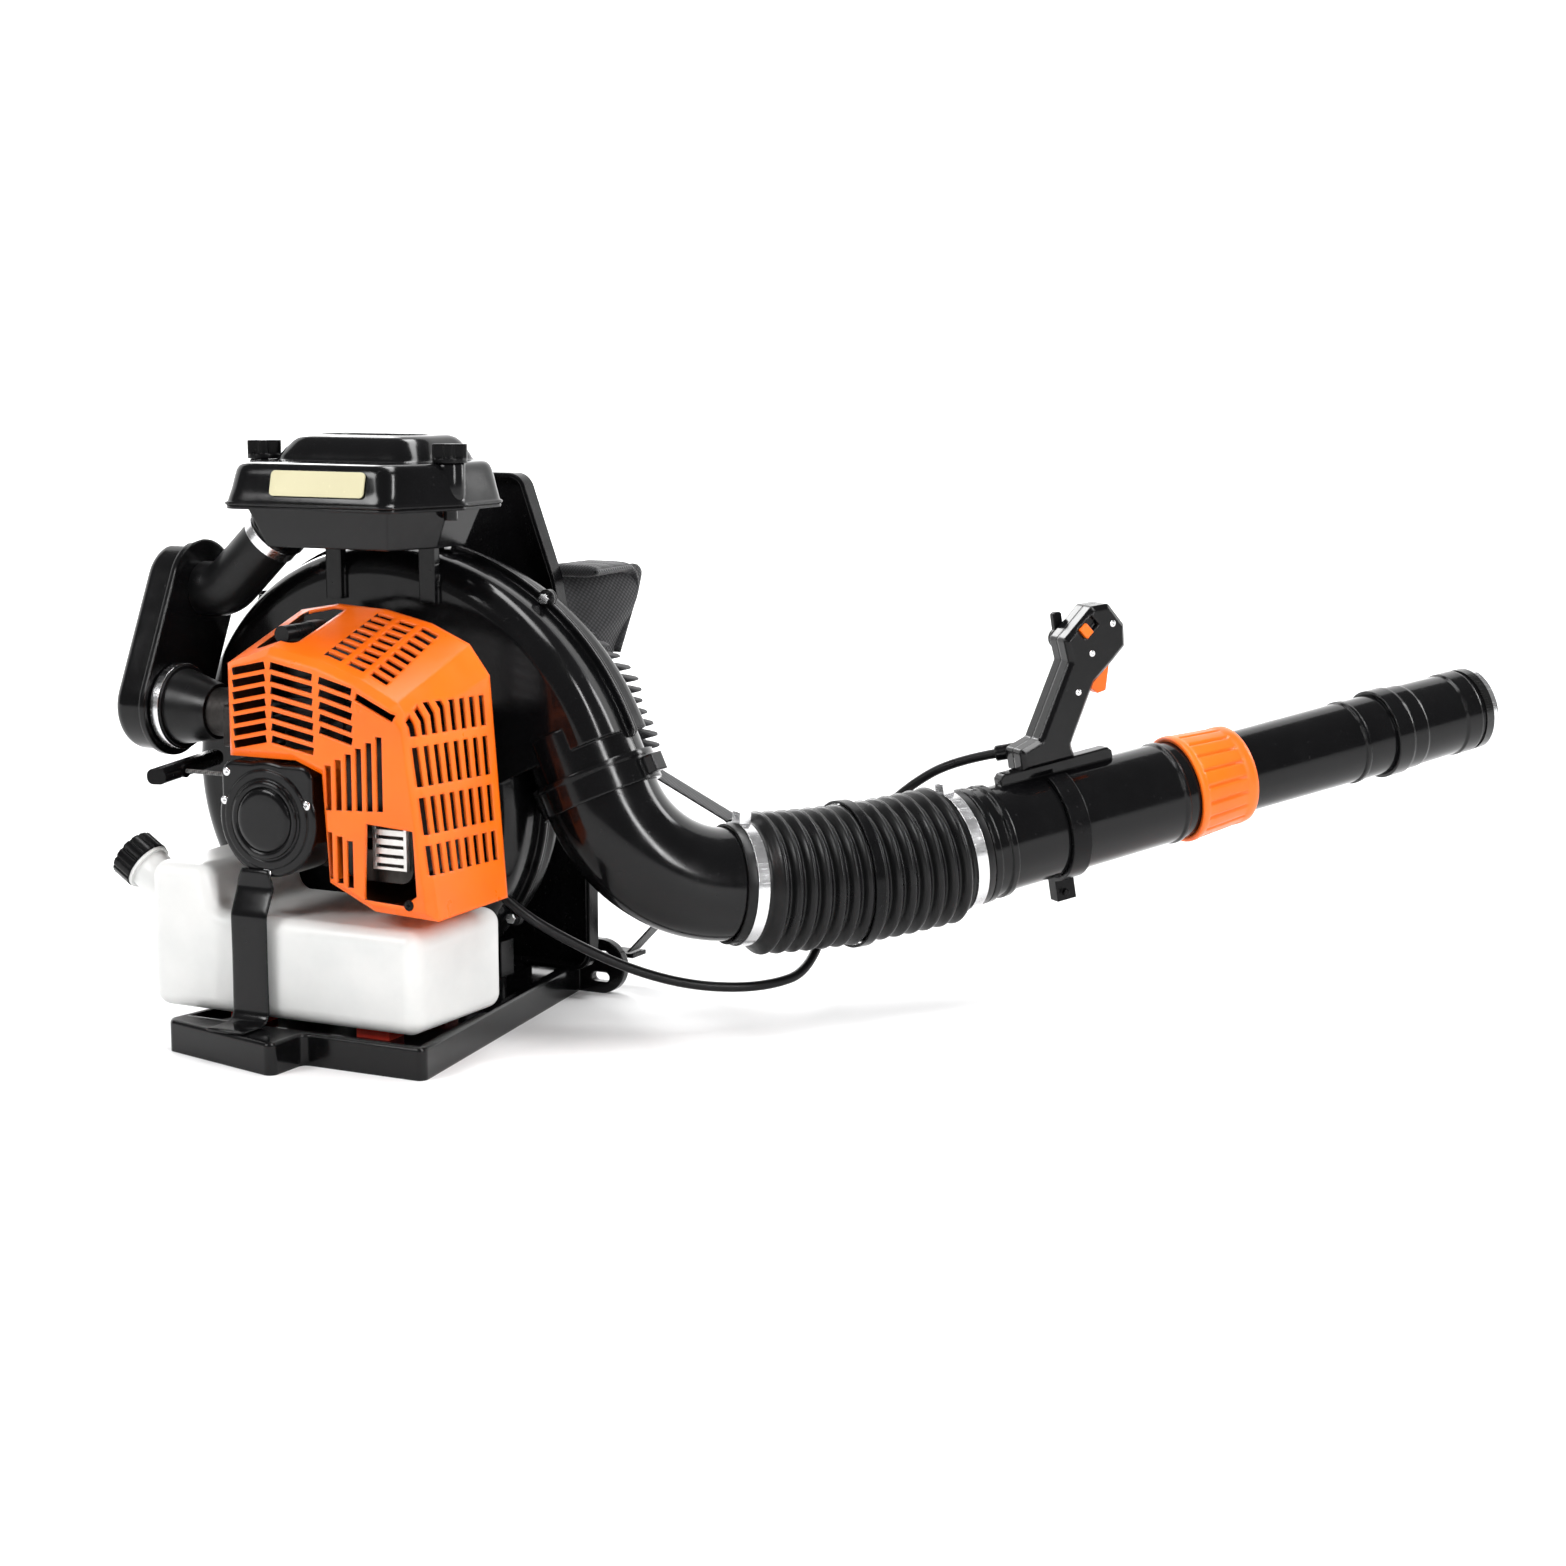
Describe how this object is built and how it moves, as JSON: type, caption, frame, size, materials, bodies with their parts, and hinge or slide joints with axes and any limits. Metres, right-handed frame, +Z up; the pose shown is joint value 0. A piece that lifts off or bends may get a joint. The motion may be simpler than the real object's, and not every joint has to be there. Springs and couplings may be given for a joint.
{
  "type": "backpack leaf blower",
  "caption": "Backpack leaf blower: engine and fan housing on a base with backrest, fuel tank and air cleaner, with an elbow, bellows hose, blow tube and control handle.",
  "frame": {"origin": "underside of the base plate, in the middle between its front edge at the engine side and its rear lugs", "axes": "+Z up, -Y towards the engine and fuel tank, +Y towards the wearer's back, +X towards the side where the blow tube leaves"},
  "size_m": [1.0655, 0.9979, 0.532],
  "materials": {
    "orange_plastic": "satin",
    "black_plastic": "satin",
    "gloss_black_plastic": "gloss",
    "tank_plastic": "translucent satin",
    "black_rubber": "matt",
    "red_rubber": "matt",
    "pad_fabric": "woven",
    "cast_alloy": "as cast",
    "bright_steel": "brushed",
    "muffler_steel": "dull",
    "cream_plate": "satin",
    "filter_foam": "open foam",
    "ceramic": "glazed"
  },
  "bodies": {
    "machine": {"base_plate": "black_plastic", "backrest_frame": "black_plastic", "back_pad": "pad_fabric", "shoulder_strap_right": "pad_fabric", "shoulder_strap_left": "pad_fabric", "strap_webbing_right": "pad_fabric", "strap_webbing_left": "pad_fabric", "strap_buckles": "black_plastic", "isolators": "black_rubber", "fuel_tank": "tank_plastic", "tank_pads": "red_rubber", "tank_guard": "black_plastic", "volute_front": "black_plastic", "volute_rear": "black_plastic", "case_screws": "bright_steel", "crankcase": "cast_alloy", "cylinder": "cast_alloy", "spark_plug": "ceramic", "spark_plug_boot": "black_rubber", "muffler": "muffler_steel", "engine_shroud": "orange_plastic", "starter_housing": "black_plastic", "starter_disc": "black_plastic", "intake_insulator": "black_plastic", "carburettor": "cast_alloy", "duct_boot": "black_rubber", "intake_duct": "black_plastic", "intake_pipe": "black_rubber", "duct_clamps": "bright_steel", "air_cleaner_base": "black_plastic", "air_filter": "filter_foam", "outlet_collar": "black_plastic", "elbow_pipe": "black_plastic", "elbow_clamp": "bright_steel", "throttle_cable_lower": "black_rubber"},
    "rotor": {"impeller": "black_plastic", "crankshaft": "bright_steel"},
    "rope_reel": {"starter_pulley": "black_plastic"},
    "pull_grip": {"starter_grip": "black_plastic", "starter_rope": "pad_fabric"},
    "filler_cap": {"fuel_cap": "black_plastic"},
    "filter_cover": {"air_cleaner_cover": "gloss_black_plastic", "cover_plate": "cream_plate"},
    "left_knob": {"knob_left": "black_plastic"},
    "right_knob": {"knob_right": "black_plastic"},
    "hose_middle": {"bellows_hose": "black_rubber", "cable_clip": "black_plastic"},
    "wand": {"hose_clamp": "bright_steel", "swivel_tube": "gloss_black_plastic", "handle_clamp": "black_plastic", "handle_left_half": "black_plastic", "handle_right_half": "black_plastic", "throttle_cable_upper": "black_rubber"},
    "twist_collar": {"locking_collar": "orange_plastic"},
    "blow_tube": {"straight_tube": "gloss_black_plastic", "nozzle": "gloss_black_plastic", "nozzle_band": "bright_steel"},
    "trigger": {"throttle_trigger": "orange_plastic"},
    "switch": {"stop_switch": "orange_plastic"},
    "cruise": {"cruise_lever": "black_plastic"}
  },
  "joints": [
    {"name": "impeller_spin", "type": "hinge", "parent": "machine", "child": "rotor", "pos_m": [-0.04, 0.04, 0.207], "axis": [0, 1, 0], "continuous": true},
    {"name": "starter_pull", "type": "slide", "parent": "machine", "child": "pull_grip", "axis": [-1, 0, 0], "range_m": [0, 0.6], "deforming": ["starter_rope"]},
    {"name": "reel_spin", "type": "hinge", "parent": "machine", "child": "rope_reel", "pos_m": [-0.04, -0.11, 0.207], "axis": [0, 1, 0], "continuous": true},
    {"name": "fuel_cap_turn", "type": "hinge", "parent": "machine", "child": "filler_cap", "pos_m": [-0.21032, -0.11, 0.15268], "axis": [-0.8387, 0, 0.5446], "continuous": true},
    {"name": "cover_lift", "type": "slide", "parent": "machine", "child": "filter_cover", "axis": [0, 0, 1], "range_m": [0, 0.12]},
    {"name": "left_knob_turn", "type": "hinge", "parent": "filter_cover", "child": "left_knob", "pos_m": [-0.1135, -0.038, 0.51], "axis": [0, 0, 1], "continuous": true},
    {"name": "right_knob_turn", "type": "hinge", "parent": "filter_cover", "child": "right_knob", "pos_m": [0.0825, -0.038, 0.51], "axis": [0, 0, 1], "continuous": true},
    {"name": "hose_yaw", "type": "hinge", "parent": "machine", "child": "hose_middle", "pos_m": [0.30993, 0.16846, 0.13203], "axis": [0, 0, 1], "range_deg": [-22, 22], "deforming": ["bellows_hose", "throttle_cable_lower"]},
    {"name": "hose_pitch", "type": "hinge", "parent": "hose_middle", "child": "wand", "pos_m": [0.376, 0.25302, 0.13616], "axis": [0.788, -0.6157, 0], "range_deg": [-10, 20], "deforming": ["bellows_hose", "throttle_cable_upper"]},
    {"name": "collar_turn", "type": "hinge", "parent": "wand", "child": "twist_collar", "pos_m": [0.57388, 0.5063, 0.19064], "axis": [0.6068, 0.7766, 0.1693], "range_deg": [0, 45]},
    {"name": "tube_extend", "type": "slide", "parent": "wand", "child": "blow_tube", "axis": [0.6068, 0.7766, 0.1693], "range_m": [-0.08, 0.04]},
    {"name": "trigger_pull", "type": "hinge", "parent": "wand", "child": "trigger", "pos_m": [0.49587, 0.40644, 0.31397], "axis": [-0.788, 0.6157, 0], "range_deg": [0, 14], "stiffness_Nm_per_rad": 0.6},
    {"name": "stop_slide", "type": "slide", "parent": "wand", "child": "switch", "axis": [0.4447, 0.5692, 0.6915], "range_m": [0, 0.009]},
    {"name": "cruise_turn", "type": "hinge", "parent": "wand", "child": "cruise", "pos_m": [0.48476, 0.39224, 0.33623], "axis": [-0.788, 0.6157, 0], "range_deg": [0, 60]}
  ],
  "couplings": [
    {"joint": "reel_spin", "follows": "starter_pull", "rad_per_m": -33.9}
  ]
}
